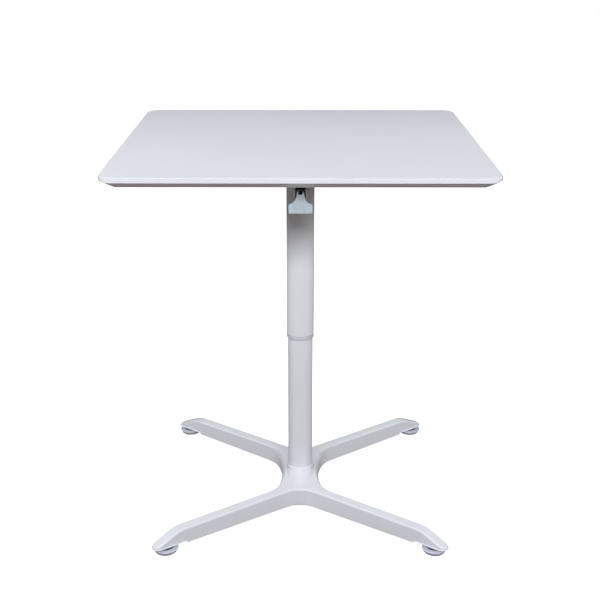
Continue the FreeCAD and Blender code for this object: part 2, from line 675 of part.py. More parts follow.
w = val("paddle_half")
z0 = val("paddle_low")
zt = val("paddle_top")
# corners of the right half from the lower edge up to the notch, with their radii
right = [(w, z0, 4.2), (w, z0 + 21.6, 2.6), (w - 7.4, z0 + 24.0, 9.0), (w - 12.4, z0 + 26.7, 9.0),
         (w - 16.2, z0 + 30.9, 9.0), (w - 18.4, z0 + 36.4, 14.0), (w - 19.5, z0 + 42.0, 14.0),
         (w - 21.2, z0 + 49.6, 1.35), (w - 24.1, z0 + 49.6, 1.35), (w - 24.3, z0 + 42.7, 4.0)]
edges = rounded_edges(right + [(-x, z, r) for x, z, r in reversed(right)])
plate = Part.Face(Part.Wire(Part.__sortEdges__(edges))).extrude(inward * val("lever_thick"))
front = [e for e in plate.Edges
         if all(abs((v.Point - low_f).dot(inward)) < 1e-3 for v in e.Vertexes)]
for kind, size in (("round", 1.25), ("round", 1.0), ("round", 0.8), ("bevel", 0.6), ("bevel", 0.35)):
    try:
        rounded = plate.makeFillet(size, front) if kind == "round" else plate.makeChamfer(size, front)
        if rounded.isValid() and rounded.Volume > 0 and len(rounded.Solids) == 1:
            plate = rounded
            print("lever rim", kind, size)
            break
        print("lever rim", kind, size, "bad solid")
    except Exception as err:
        print("lever rim", kind, size, "not made:", err)

arm_pts = [(-35.2, 766.0), (-31.4, 777.6), (-24.0, 781.4), (-14.0, 783.2), (-4.0, 780.0), (6.0, 778.0),
           (6.0, 771.5), (-8.0, 771.5), (-20.0, 767.4), (-31.0, 765.2)]
arms = []
for s in (1, -1):
    x0 = val("arm_in") if s > 0 else -val("arm_out")
    poly = Part.makePolygon([V(x0, y, z) for y, z in arm_pts] + [V(x0, arm_pts[0][0], arm_pts[0][1])])
    arms.append(Part.Face(poly).extrude(V(val("arm_out") - val("arm_in"), 0, 0)))
tongue = Part.makeBox(2 * val("arm_out"), 9.0, 3.0, V(-val("arm_out"), -3.0, 771.5))
lever = plate.fuse(arms + [tongue])
hole = Part.makeCylinder(val("pivot_run"), 40.0, V(-20, pivot.y, pivot.z), V(1, 0, 0))
lever = lever.cut(hole)
slit = Part.makeBox(1.7, 3.0, 8.6, V(0, 0, 0))
slit.Placement = Pla(on_plate(3.0, 762.0) + inward * -0.2, Rot(V(1, 0, 0), inward, up, "XYZ"))
lever = lever.cut(slit).removeSplitter()
lever = lever.Solids[0] if len(lever.Solids) == 1 else lever
keep(feature("release_lever", lever))

pin = cyl("lever_pivot_pin", E("pivot_rad"), E((2.0, "pivot_half")), E("-pivot_half"), E("-pivot_back"),
          E("pivot_high"), Rot(V(0, 1, 0), 90))
keep(pin, "lever_pivot_pin")
spacers = []
for x0 in (val("arm_out") + 0.3, -val("cheek_half") + 0.1):
    length = val("cheek_half") - val("arm_out") - 0.4
    a = Part.makeCylinder(val("spacer_rad"), length, V(x0, pivot.y, pivot.z), V(1, 0, 0))
    b = Part.makeCylinder(val("pivot_rad"), length + 2, V(x0 - 1, pivot.y, pivot.z), V(1, 0, 0))
    spacers.append(a.cut(b))
keep(feature("lever_spacers", Part.makeCompound(spacers)))

# -------------------------------------------------------------- base casting
ang = math.radians(val("leg_angle"))
u = V(math.cos(ang), math.sin(ang), 0)
nrm = V(-math.sin(ang), math.cos(ang), 0)
start = V(0, val("leg_cross"), 0)
hw = val("leg_half")


def along(t, side=0.0, z=0.0):
    return start + u * t + nrm * side + V(0, 0, z)


def mirrored(shape, mx, my):
    out = shape
    if mx:
        out = out.mirror(V(0, 0, 0), V(1, 0, 0))
    if my:
        out = out.mirror(V(0, 0, 0), V(0, 1, 0))
    return out


FOUR = [(False, False), (True, False), (False, True), (True, True)]


def plan_edges(inset=0.0, level=""):
    """One quarter of the plan outline, from the web's apex to the waist, moved
    into the material by inset. Level "_top" has the top face's narrower waist."""
    hw = val("leg_half") - inset
    yc = val("web_apex") + val("web_arc")
    wr = val("web_arc") + inset
    c = V(0, yc, 0)
    t1 = c - nrm * wr
    a_mid = -math.pi / 2 + (math.atan2(t1.y - yc, t1.x) + math.pi / 2) / 2
    mid = c + V(math.cos(a_mid), math.sin(a_mid), 0) * wr
    out = [Part.Arc(V(0, yc - wr, 0), mid, t1).toShape()]
    tip = along(val("toe_tip"))
    out.append(Part.LineSegment(t1, tip + nrm * hw).toShape())
    out.append(Part.Arc(tip + nrm * hw, tip + u * hw, tip - nrm * hw).toShape())
    # corner between the leg's inner side and the waist
    wc = V(val("waist_half" + level) + val("waist_arc" + level), 0, 0)
    rw, rf = val("waist_arc" + level) + inset, val("waist_corner") + inset
    lo, hi = 0.0, 250.0
    for _ in range(80):
        m = (lo + hi) / 2
        cf = along(m, -(hw + rf))
        if (cf - wc).Length > rw - rf:
            lo = m
        else:
            hi = m
    cf = along(lo, -(hw + rf))
    tf1 = cf + nrm * rf
    d = cf - wc
    d.normalize()
    tf2 = wc + d * rw
    chord = (tf1 + tf2) * 0.5 - cf
    chord.normalize()
    out.append(Part.LineSegment(tip - nrm * hw, tf1).toShape())
    out.append(Part.Arc(tf1, cf + chord * rf, tf2).toShape())
    a0 = math.atan2(tf2.y, tf2.x - wc.x)
    a_m = (a0 + math.pi) / 2
    out.append(Part.Arc(tf2, wc + V(math.cos(a_m), math.sin(a_m), 0) * rw, wc - V(rw, 0, 0)).toShape())
    return out


def plan_face(inset=0.0, level=""):
    quarter = plan_edges(inset, level)
    every = []
    for mx, my in FOUR:
        every += [mirrored(e, mx, my) for e in quarter]
    return Part.Face(Part.Wire(Part.__sortEdges__(every)))


def void_wire(level, z):
    """The space beside the waist, out to where both outlines run along the legs."""
    leg, corner, arc = plan_edges(0.0, level)[-3:]
    far = along(112.0, -hw)
    quarter = [Part.LineSegment(far, leg.Vertexes[0].Point if leg.Vertexes[0].X < leg.Vertexes[1].X
                                else leg.Vertexes[1].Point).toShape(), corner, arc]
    every = quarter + [mirrored(e, False, True) for e in quarter]
    every.append(Part.LineSegment(far, V(far.x, -far.y, 0)).toShape())
    wire = Part.Wire(Part.__sortEdges__(every))
    wire.translate(V(0, 0, z))
    return wire


plan = plan_face()
plan_top = plan_face(0.0, "_top")
zs, zt_leg = val("skirt_low"), val("leg_high")
body_blank = plan.copy()
body_blank.translate(V(0, 0, zs))
body_blank = body_blank.extrude(V(0, 0, zt_leg - zs))

# the toe's slope: a blend arc, then a straight run down to the tip
tb, rb = val("toe_break"), val("toe_blend")
sl = math.radians(val("toe_slope"))
t_end = tb + rb * math.sin(sl)
z_end = zt_leg - rb * (1 - math.cos(sl))
t_far = 430.0
z_far = z_end - (t_far - t_end) * math.tan(sl)
a = along(tb, -40, zt_leg)
b = along(tb + rb * math.sin(sl / 2), -40, zt_leg - rb * (1 - math.cos(sl / 2)))
c = along(t_end, -40, z_end)
d = along(t_far, -40, z_far)
e1 = along(t_far, -40, zt_leg + 10)
e0 = along(tb, -40, zt_leg + 10)
toe_wire = Part.Wire([Part.Arc(a, b, c).toShape(), Part.LineSegment(c, d).toShape(), Part.LineSegment(d, e1).toShape(),
                      Part.LineSegment(e1, e0).toShape(), Part.LineSegment(e0, a).toShape()])
toe_cut = Part.Face(toe_wire).extrude(nrm * 80)
# the underside: the skirt rises a little along the leg and steps up over the foot
step_at = val("toe_step")
low_pts = [(20, -5), (20, zs), (60, zs + 0.4), (step_at, val("skirt_end")), (step_at + 4.0, val("toe_under")),
           (440, val("toe_under")), (440, -5)]
low_wire = Part.makePolygon([along(t, -32, z) for t, z in low_pts] + [along(low_pts[0][0], -32, low_pts[0][1])])
low_cut = Part.Face(low_wire).extrude(nrm * 64)

casting = body_blank
for mx, my in FOUR:
    casting = casting.cut(mirrored(toe_cut, mx, my))
# the sides of the waist lean in above flank_low
beside = Part.makeLoft([void_wire("", val("flank_low")), void_wire("_top", zt_leg)], True, True)
print("flank tool", beside.isValid(), beside.Volume)
for mx in (False, True):
    casting = casting.cut(mirrored(beside, mx, False))
casting = casting.removeSplitter()


def rim(e):
    """Edges of the upper rim: on or under the top plane, on the plan outline, not upright."""
    zmin, zmax = e.BoundBox.ZMin, e.BoundBox.ZMax
    if zmax < 12 or zmin < 6:
        return False
    if zmax - zmin > 0.6 * max(e.BoundBox.XLength, e.BoundBox.YLength) + 3:
        return False
    m = e.valueAt((e.FirstParameter + e.LastParameter) / 2)
    if abs(zmin - val("flank_low")) < 0.05 and zmax - zmin < 0.1:
        return False
    vtx = Part.Vertex(V(m.x, m.y, 0))
    return min(plan.OuterWire.distToShape(vtx)[0], plan_top.OuterWire.distToShape(vtx)[0]) < 0.05


rim_edges = [e for e in casting.Edges if rim(e)]
try:
    r = casting.makeFillet(val("edge_round"), rim_edges)
    if not r.isValid() or len(r.Solids) != 1:
        raise RuntimeError("fillet gave a bad solid")
    casting = r
    print("base rim rounded", len(rim_edges), "edges")
except Exception as err:
    print("base rim left sharp:", err)

for mx, my in FOUR:
    casting = casting.cut(mirrored(low_cut, mx, my))
# between the legs of each side the wall's lower edge rises in a long arch
arch = Part.makeCylinder(1100.0, 54.0, V(36.5, 0, val("waist_rise") - 1100.0), V(1, 0, 0))
arch = arch.common(Part.makeBox(60, 230, 14, V(36, -115, -5)))
for mx in (False, True):
    casting = casting.cut(mirrored(arch, mx, False))


def toe_outline(grow, z):
    """Plan of the toe from the step outward, grown sideways."""
    tip, w1 = val("toe_tip"), val("leg_half") + grow
    t0 = step_at + 7.0
    parts_ = [Part.LineSegment(along(t0, -w1, z), along(tip, -w1, z)).toShape(),
              Part.Arc(along(tip, -w1, z), along(tip + w1, 0, z), along(tip, w1, z)).toShape(),
              Part.LineSegment(along(tip, w1, z), along(t0, w1, z)).toShape(),
              Part.LineSegment(along(t0, w1, z), along(t0, -w1, z)).toShape()]
    return Part.Wire(parts_)


tu, lip_out = val("toe_under"), val("toe_lip")
lip = Part.Face(toe_outline(lip_out, tu)).extrude(V(0, 0, 1.1))
lip = lip.fuse(Part.makeLoft([toe_outline(lip_out, tu + 1.1), toe_outline(-1.4, tu + 4.3)], True, True)).removeSplitter()
for mx, my in FOUR:
    casting = casting.fuse(mirrored(lip, mx, my))


def oval(rx, ry, z):
    if abs(rx - ry) < 1e-6:
        return Part.Wire([Part.Circle(V(0, 0, z), V(0, 0, 1), rx).toShape()])
    # long axis along Y
    el = Part.Ellipse(V(0, ry, z), V(rx, 0, z), V(0, 0, z))
    return Part.Wire([el.toShape()])


hub = Part.makeLoft([oval(34.5, 99.0, zt_leg - 4.0), oval(33.5, 84.0, zt_leg + 0.7), oval(30.5, 60.0, zt_leg + 5.3),
                     oval(26.0, 37.0, val("collar_top") - 0.2)], True, False)
cr, ct, lr, lt = val("collar_rad"), val("collar_top"), val("lip_rad"), val("lip_top")
collar = Part.Wire([
    Part.LineSegment(V(20, 0, 40), V(cr + 2.2, 0, 40)).toShape(),
    Part.LineSegment(V(cr + 2.2, 0, 40), V(cr + 1.1, 0, 50)).toShape(),
    Part.LineSegment(V(cr + 1.1, 0, 50), V(cr, 0, ct)).toShape(),
    Part.Arc(V(cr, 0, ct), V(cr - 0.5, 0, (ct + lt) / 2 + 0.8), V(lr, 0, lt)).toShape(),
    Part.LineSegment(V(lr, 0, lt), V(20, 0, lt)).toShape(),
    Part.LineSegment(V(20, 0, lt), V(20, 0, 40)).toShape(),
])
collar = Part.Face(collar).revolve(V(0, 0, 0), V(0, 0, 1), 360)

# hollow underside with a walled boss for the tube, cross ribs and solid toes
inner = plan_face(val("wall_thick"), "_top")
inner.translate(V(0, 0, -2))
cavity = inner.extrude(V(0, 0, zt_leg - val("wall_thick") + 2))
keepers = [Part.makeCylinder(val("boss_rad"), 80, V(0, 0, -5))]
for mx, my in FOUR:
    blk = Part.makePolygon([along(352, -32, -5), along(352, 32, -5), along(460, 32, -5), along(460, -32, -5), along(352, -32, -5)])
    keepers.append(mirrored(Part.Face(blk).extrude(V(0, 0, 80)), mx, my))
    for t in (70.0, 165.0, 260.0):
        h2 = val("rib_thick") / 2
        pl = Part.makePolygon([along(t - h2, -32, 16), along(t - h2, 32, 16), along(t + h2, 32, 16), along(t + h2, -32, 16),
                               along(t - h2, -32, 16)])
        keepers.append(mirrored(Part.Face(pl).extrude(V(0, 0, 60)), mx, my))
for x0, y0, lx, ly in ((-60, -1.75, 120, 3.5), (-1.75, -140, 3.5, 280)):
    keepers.append(Part.makeBox(lx, ly, 60, V(x0, y0, 12)))
for k in keepers:
    cavity = cavity.cut(k)
casting = casting.fuse(hub).fuse(collar)
casting = casting.cut(cavity)
boss = Part.makeCylinder(val("boss_rad"), 43.0 - zs, V(0, 0, zs + 1.5))
casting = casting.fuse(boss)
casting = casting.cut(Part.makeCylinder(val("socket_rad"), 80, V(0, 0, val("boss_floor") + val("boss_floor_thick"))))
casting = casting.cut(Part.makeCylinder(18.0, val("boss_floor") + 5, V(0, 0, -5)))
casting = casting.cut(Part.makeCylinder(val("base_bolt_rad") + 0.3, 30, V(0, 0, -1)))
for mx, my in FOUR:
    foot = along(val("foot_at"))
    h1 = Part.makeCylinder(val("bush_hole"), val("bush_seat_top") - 5, V(foot.x, foot.y, 5))
    h2 = Part.makeCylinder(val("hex_recess"), val("bush_seat") - 5, V(foot.x, foot.y, 5))
    casting = casting.cut(mirrored(h1.fuse(h2), mx, my))
casting = casting.removeSplitter()
if len(casting.Solids) == 1:
    casting = casting.Solids[0]
else:
    casting = max(casting.Solids, key=lambda s_: s_.Volume)
keep(feature("base_casting", casting))

# -------------------------------------------------------- base bolt, washer
bolt = new_body("base_bolt")
pad(bolt, "bolt_hex", "XY_Plane", hexagon("base_bolt_flats", 12.0), E("base_bolt_head"),
    offset=E("boss_floor", "-base_washer_thick", "-base_bolt_head"))
sk = new_sketch(bolt, "bolt_shank_sketch", "XY_Plane", E("boss_floor", "-base_washer_thick"))
import Sketcher
sk.addGeometry(Part.Circle(V(0, 0, 0), V(0, 0, 1), val("base_bolt_rad")), False)
sk.addConstraint(Sketcher.Constraint("Coincident", 0, 3, -1, 1))
i = sk.addConstraint(Sketcher.Constraint("Radius", 0, val("base_bolt_rad")))
sk.setExpression("Constraints[%d]" % i, "Params.base_bolt_rad")
f = bolt.newObject("PartDesign::Pad", "bolt_shank")
f.Profile = sk
bind(f, "Length", E("base_washer_thick", "boss_floor_thick", "foot_plate_thick", 3.0))
doc.recompute()
keep(bolt)
keep(turned("base_washer", [
    (E("base_bolt_rad", 0.3), E("boss_floor", "-base_washer_thick")), (E("base_washer_rad"), E("boss_floor", "-base_washer_thick")),
    (E("base_washer_rad"), E("boss_floor")), (E("base_bolt_rad", 0.3), E("boss_floor")),
]))

# ------------------------------------------------------------ levelling feet
foot = along(val("foot_at"))
FEET = [("front_left", -1, -1), ("front_right", 1, -1), ("back_left", -1, 1), ("back_right", 1, 1)]
one = turned("foot_bush_one", [
    (E("stem_bore"), E("bush_seat")), (E("bush_hole"), E("bush_seat")),
    (E("bush_hole"), E("bush_seat_top")), (E("stem_bore"), E("bush_seat_top")),
])
keep(copies("foot_bushes", one.Shape, [(sx * foot.x, sy * foot.y, 0) for _, sx, sy in FEET]))
for name, sx, sy in FEET:
    fx = E((sx * math.cos(ang), "foot_at"))
    fy = E((sy * math.sin(ang), "foot_at"), (sy * 1.0, "leg_cross"))
    sole = turned("foot_sole_" + name, [
        (0, 0), (E("sole_rad", -0.9), 0), (E("sole_rad", -0.3), E(0.7)), (E("sole_rad"), E("sole_thick")), (0, E("sole_thick")),
    ])
    place(sole, fx, fy)
    keep(sole)
    padb = turned("foot_pad_" + name, [
        (0, E("sole_thick")), (E("pad_foot_rad"), E("sole_thick")), (E("pad_rad", -0.35), E("pad_wide_at", -0.9)),
        (E("pad_rad"), E("pad_wide_at"), E(1.7)), (E("pad_rad", -1.5), E("pad_crown", -1.2)), (E(7.6), E("pad_crown")),
        (E("stem_rad", 0.12), E("pad_crown")), (E("stem_rad", 0.12), E(6.7)),
        (E("stem_disc", 0.1), E(6.7)), (E("stem_disc", 0.1), E(3.4)), (0, E(3.4)),
    ])
    place(padb, fx, fy)
    keep(padb)
    stem = turned("foot_stem_" + name, [
        (0, E(3.5)), (E("stem_disc"), E(3.5)), (E("stem_disc"), E(6.6)), (E("stem_rad"), E(6.6)),
        (E("stem_rad"), E("stem_top", -0.8)), (E("stem_rad", -0.8), E("stem_top")), (0, E("stem_top")),
    ])
    pad(stem, "hex_" + name, "XY_Plane", hexagon("hex_flats", 10.0), E("hex_top", "-hex_low"), offset=E("hex_low"))
    place(stem, fx, fy)
    keep(stem)

# ------------------------------------------------------------ check and write
doc.recompute()
bad = []
for o in doc.Objects:
    if any(s_ in ("Invalid", "Error") for s_ in o.State):
        bad.append("%s: %s" % (o.Label, o.State))
for o in NODES:
    if o.Shape.isNull() or not o.Shape.isValid() or not o.Shape.Solids or o.Shape.Volume <= 0:
        bad.append("%s: bad shape" % o.Label)
if bad:
    raise RuntimeError("not exported: " + "; ".join(bad))
for o in NODES:
    bb = o.Shape.BoundBox
    print("%-26s solids %d vol %10.1f  x %.1f..%.1f y %.1f..%.1f z %.1f..%.1f" % (
        o.Label, len(o.Shape.Solids), o.Shape.Volume, bb.XMin, bb.XMax, bb.YMin, bb.YMax, bb.ZMin, bb.ZMax))
    o.Shape.exportStep("parts/%s.step" % o.Label)
print("nodes:", len(NODES))
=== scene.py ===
"""Height-adjustable pedestal table: camera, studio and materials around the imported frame."""

import json
import math

import bpy
from mathutils import Matrix, Vector


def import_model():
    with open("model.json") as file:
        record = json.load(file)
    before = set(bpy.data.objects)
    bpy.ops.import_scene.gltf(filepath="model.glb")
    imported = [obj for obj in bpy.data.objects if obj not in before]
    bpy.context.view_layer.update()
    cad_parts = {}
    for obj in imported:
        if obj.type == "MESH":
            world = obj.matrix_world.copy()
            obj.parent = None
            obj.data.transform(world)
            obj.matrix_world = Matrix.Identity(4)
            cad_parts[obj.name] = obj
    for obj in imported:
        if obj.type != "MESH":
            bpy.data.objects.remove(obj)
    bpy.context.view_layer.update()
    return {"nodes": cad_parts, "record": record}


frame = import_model()
NODES = frame["nodes"]
scene = bpy.context.scene

# ---------------------------------------------------------------- camera
camera = bpy.data.objects.new("camera", bpy.data.cameras.new("camera"))
scene.collection.objects.link(camera)
camera.data.sensor_width = 36.0
camera.data.lens = 64.34
camera.data.clip_start, camera.data.clip_end = 0.05, 60.0
camera.location = (-0.0008, -2.4429, 1.3685)
camera.rotation_mode = "XYZ"
camera.rotation_euler = (
    Matrix.Rotation(math.radians(70.488), 4, "X")
    @ Matrix.Rotation(math.radians(0.05), 4, "Z")
).to_euler("XYZ")
scene.camera = camera
scene.view_settings.view_transform = "Standard"
scene.view_settings.look = "None"


# ---------------------------------------------------------------- node helpers
class Tree:
    """A material's node tree, with short calls for the nodes used here."""

    def __init__(self, name):
        self.material = bpy.data.materials.new(name)
        self.material.use_nodes = True
        self.tree = self.material.node_tree
        self.tree.nodes.clear()
        self.out = self.tree.nodes.new("ShaderNodeOutputMaterial")
        self.bsdf = self.tree.nodes.new("ShaderNodeBsdfPrincipled")
        self.tree.links.new(self.bsdf.outputs[0], self.out.inputs[0])
        self.place = self.tree.nodes.new("ShaderNodeTexCoord").outputs["Object"]

    def node(self, kind, **values):
        n = self.tree.nodes.new("ShaderNode" + kind)
        for key, value in values.items():
            setattr(n, key, value)
        return n

    def link(self, a, b):
        self.tree.links.new(a, b)

    def mapped(self, scale=(1, 1, 1), rotation=(0, 0, 0)):
        n = self.node("Mapping")
        n.inputs["Scale"].default_value = scale
        n.inputs["Rotation"].default_value = rotation
        self.link(self.place, n.inputs["Vector"])
        return n.outputs[0]

    def noise(self, scale, detail=2.0, roughness=0.5, vector=None, distortion=0.0):
        n = self.node("TexNoise")
        n.inputs["Scale"].default_value = scale
        n.inputs["Detail"].default_value = detail
        n.inputs["Roughness"].default_value = roughness
        n.inputs["Distortion"].default_value = distortion
        self.link(vector or self.place, n.inputs["Vector"])
        return n.outputs["Fac"]

    def cells(self, scale, vector=None, feature="F1"):
        n = self.node("TexVoronoi", feature=feature)
        n.inputs["Scale"].default_value = scale
        self.link(vector or self.place, n.inputs["Vector"])
        return n.outputs["Distance"]

    def ramp(self, value, a, b, low=0.0, high=1.0):
        """Maps value from low..high to a..b, held at the ends."""
        n = self.node("MapRange", clamp=True)
        for key, v in (("From Min", low), ("From Max", high), ("To Min", a), ("To Max", b)):
            n.inputs[key].default_value = v
        self.link(value, n.inputs["Value"])
        return n.outputs[0]

    def math(self, kind, a, b):
        n = self.node("Math", operation=kind)
        for i, v in enumerate((a, b)):
            if isinstance(v, (int, float)):
                n.inputs[i].default_value = v
            else:
                self.link(v, n.inputs[i])
        return n.outputs[0]

    def mix(self, factor, a, b):
        n = self.node("Mix", data_type="RGBA")
        n.inputs[0].default_value = 0.5
        self.link(factor, n.inputs[0])
        for i, v in ((6, a), (7, b)):
            if isinstance(v, tuple):
                n.inputs[i].default_value = v + (1.0,)
            else:
                self.link(v, n.inputs[i])
        return n.outputs[2]

    def height_of(self, axis="Z"):
        n = self.node("SeparateXYZ")
        self.link(self.place, n.inputs[0])
        return n.outputs[axis]

    def bump(self, *layers):
        """layers are (value, depth in metres); they add up."""
        last = None
        for value, depth in layers:
            n = self.node("Bump")
            n.inputs["Strength"].default_value = 1.0
            n.inputs["Distance"].default_value = depth
            self.link(value, n.inputs["Height"])
            if last is not None:
                self.link(last, n.inputs["Normal"])
            last = n.outputs[0]
        self.link(last, self.bsdf.inputs["Normal"])
        return last

    def set(self, **values):
        for key, value in values.items():
            self.bsdf.inputs[key.replace("_", " ")].default_value = value


def srgb(r, g, b):
    """A colour given as 0-255 display values, as linear values."""
    def one(v):
        v /= 255.0
        return v / 12.92 if v <= 0.04045 else ((v + 0.055) / 1.055) ** 2.4
    return (one(r), one(g), one(b))


def tinted(colour, factor, cool=0.0):
    return (colour[0] * factor * (1 - cool), colour[1] * factor, colour[2] * factor * (1 + cool))


# ---------------------------------------------------------------- materials
def top_white():
    """Satin white lacquer: faint mottling on the face, a duller backing sheet below."""
    t = Tree("top_white")
    white = (0.790, 0.803, 0.851)
    mottle = t.noise(3.1, 3.0, 0.55)
    face = t.mix(t.ramp(mottle, 0, 1, 0.35, 0.65), tinted(white, 0.985), tinted(white, 1.012))
    fleck = t.noise(900.0, 1.0, 0.5)
    face = t.mix(t.ramp(fleck, 0.0, 0.22, 0.62, 0.78), face, tinted(white, 0.93))
    backing = t.mix(t.noise(46.0, 4.0, 0.6), (0.735, 0.725, 0.715), (0.775, 0.768, 0.760))
    under = t.ramp(t.height_of(), 1.0, 0.0, 0.8700, 0.8706)
    t.link(t.mix(under, face, backing), t.bsdf.inputs["Base Color"])
    smear = t.noise(7.0, 4.0, 0.6, distortion=0.6)
    t.link(t.ramp(smear, 0.225, 0.25, 0.3, 0.7), t.bsdf.inputs["Roughness"])
    t.bump((t.noise(420.0, 2.0, 0.5), 0.000015), (t.noise(22.0, 2.0, 0.5), 0.000015))
    t.set(IOR=1.47, Specular_IOR_Level=0.42)
    return t.material


def powder(name, colour, grain, depth, rough=(0.40, 0.52)):
    """Powder coat: orange peel, a finer grain and slow changes of shade and gloss."""
    t = Tree(name)
    slow = t.noise(5.0, 3.0, 0.5)
    tone = t.mix(t.ramp(slow, 0, 1, 0.3, 0.7), tinted(colour, 0.975), tinted(colour, 1.02))
    speck = t.noise(1400.0, 1.0, 0.5)
    tone = t.mix(t.ramp(speck, 0.0, 0.35, 0.60, 0.80), tone, tinted(colour, 0.88))
    t.link(tone, t.bsdf.inputs["Base Color"])
    t.link(t.ramp(t.noise(60.0, 3.0, 0.6), rough[0], rough[1], 0.3, 0.7), t.bsdf.inputs["Roughness"])
    t.bump((t.noise(grain, 2.0, 0.5), depth), (t.noise(grain * 4.2, 1.0, 0.5), depth * 0.35))
    t.set(IOR=1.5, Specular_IOR_Level=0.45)
    return t.material


def cast_coat(name, colour):
    """Powder coat over a die casting: a little slow waviness under the fine texture."""
    t = Tree(name)
    slow = t.noise(6.5, 3.0, 0.55)
    tone = t.mix(t.ramp(slow, 0, 1, 0.3, 0.7), tinted(colour, 0.97), tinted(colour, 1.02))
    speck = t.noise(1200.0, 1.0, 0.5)
    tone = t.mix(t.ramp(speck, 0.0, 0.35, 0.60, 0.80), tone, tinted(colour, 0.88))
    t.link(tone, t.bsdf.inputs["Base Color"])
    t.link(t.ramp(t.noise(40.0, 3.0, 0.6), 0.32, 0.42, 0.3, 0.7), t.bsdf.inputs["Roughness"])
    t.bump((t.noise(16.0, 2.0, 0.5), 0.00022), (t.noise(520.0, 2.0, 0.5), 0.00003), (t.noise(1900.0, 1.0, 0.5), 0.00001))
    t.set(IOR=1.5, Specular_IOR_Level=0.45)
    return t.material


def plated(name, colour, rough=(0.28, 0.42), metallic=1.0, streak=(60.0, 60.0, 900.0), depth=0.00002):
    """Zinc-plated or plain steel: fine drawn streaks and cloudy patches."""
    t = Tree(name)
    lines = t.noise(1.0, 3.0, 0.6, vector=t.mapped(scale=streak))
    cloud = t.noise(38.0, 4.0, 0.6)
    tone = t.mix(t.ramp(cloud, 0, 1, 0.3, 0.7), tinted(colour, 0.93, -0.015), tinted(colour, 1.04, 0.015))
    tone = t.mix(t.ramp(lines, 0.0, 0.5, 0.4, 0.8), tone, tinted(colour, 0.85))
    t.link(tone, t.bsdf.inputs["Base Color"])
    t.link(t.ramp(lines, rough[0], rough[1], 0.3, 0.7), t.bsdf.inputs["Roughness"])
    t.bump((lines, depth), (t.noise(700.0, 2.0, 0.5), depth * 0.5))
    t.set(Metallic=metallic)
    return t.material


def cast_metal(name, colour):
    """Tumbled die-cast alloy: flow marks and fine pitting under a bright skin."""
    t = Tree(name)
    flow = t.noise(30.0, 4.0, 0.6, distortion=0.7)
    tone = t.mix(t.ramp(flow, 0, 1, 0.3, 0.7), tinted(colour, 0.90), tinted(colour, 1.05))
    pits = t.noise(900.0, 2.0, 0.6)
    tone = t.mix(t.ramp(pits, 0.0, 0.5, 0.58, 0.78), tone, tinted(colour, 0.72))
    # the opening that the lever works in is painted nearly black, as painted shade for the dark cavity behind the
    # lever
    across = t.math("ABSOLUTE", t.height_of("X"), 0.0)
    # painted shade: a near-black mask over the opening's inner walls, where the cavity lies in shade
    painted_slot_shade = t.math("MULTIPLY", t.ramp(across, 1.0, 0.0, 0.01195, 0.01215), t.ramp(t.height_of("Y"), 1.0, 0.0, 0.016, 0.020))
    tone = t.mix(painted_slot_shade, tone, (0.028, 0.030, 0.032))
    t.link(tone, t.bsdf.inputs["Base Color"])
    t.link(t.ramp(flow, 0.20, 0.30, 0.3, 0.7), t.bsdf.inputs["Roughness"])
    t.bump((flow, 0.00006), (pits, 0.00003))
    t.set(Metallic=0.10)
    return t.material


def moulded(name, colour, rough=(0.32, 0.46), subsurface=0.0, grain=1500.0, depth=0.000012, coat=0.0):
    """Moulded plastic: fine spark texture and slight flow clouds."""
    t = Tree(name)
    flow = t.noise(24.0, 3.0, 0.55, distortion=0.8)
    tone = t.mix(t.ramp(flow, 0, 1, 0.3, 0.7), tinted(colour, 0.955), tinted(colour, 1.03))
    t.link(tone, t.bsdf.inputs["Base Color"])
    t.link(t.ramp(t.noise(180.0, 2.0, 0.5), rough[0], rough[1], 0.3, 0.7), t.bsdf.inputs["Roughness"])
    t.bump((t.noise(grain, 2.0, 0.5), depth), (t.noise(140.0, 2.0, 0.5), depth * 2.0))
    t.set(IOR=1.46, Subsurface_Weight=subsurface, Subsurface_Scale=0.004, Coat_Weight=coat, Coat_Roughness=0.12)
    return t.material


def foot_plastic(name, colour):
    """Moulded pad; its top, close under the toe, is painted dark as painted shadow of the toe."""
    t = Tree(name)
    flow = t.noise(24.0, 3.0, 0.55, distortion=0.8)
    tone = t.mix(t.ramp(flow, 0, 1, 0.3, 0.7), tinted(colour, 0.955), tinted(colour, 1.03))
    # painted shadow: the pad's top above this height is darkened where the toe overhangs it
    painted_toe_shadow = t.ramp(t.height_of(), 0.0, 1.0, 0.0098, 0.0101)
    t.link(t.mix(painted_toe_shadow, tone, tinted(colour, 0.16)), t.bsdf.inputs["Base Color"])
    t.link(t.ramp(t.noise(180.0, 2.0, 0.5), 0.24, 0.36, 0.3, 0.7), t.bsdf.inputs["Roughness"])
    t.bump((t.noise(900.0, 2.0, 0.5), 0.000012), (t.noise(140.0, 2.0, 0.5), 0.000024))
    t.set(IOR=1.46, Subsurface_Weight=0.08, Subsurface_Scale=0.004, Coat_Weight=0.12, Coat_Roughness=0.12)
    return t.material


def rubbery(name, colour):
    t = Tree(name)
    dust = t.noise(260.0, 4.0, 0.65)
    t.link(t.mix(t.ramp(dust, 0, 1, 0.4, 0.7), colour, tinted(colour, 1.5)), t.bsdf.inputs["Base Color"])
    t.link(t.ramp(dust, 0.62, 0.82, 0.3, 0.7), t.bsdf.inputs["Roughness"])
    t.bump((t.cells(1100.0), 0.00003), (dust, 0.00002))
    return t.material


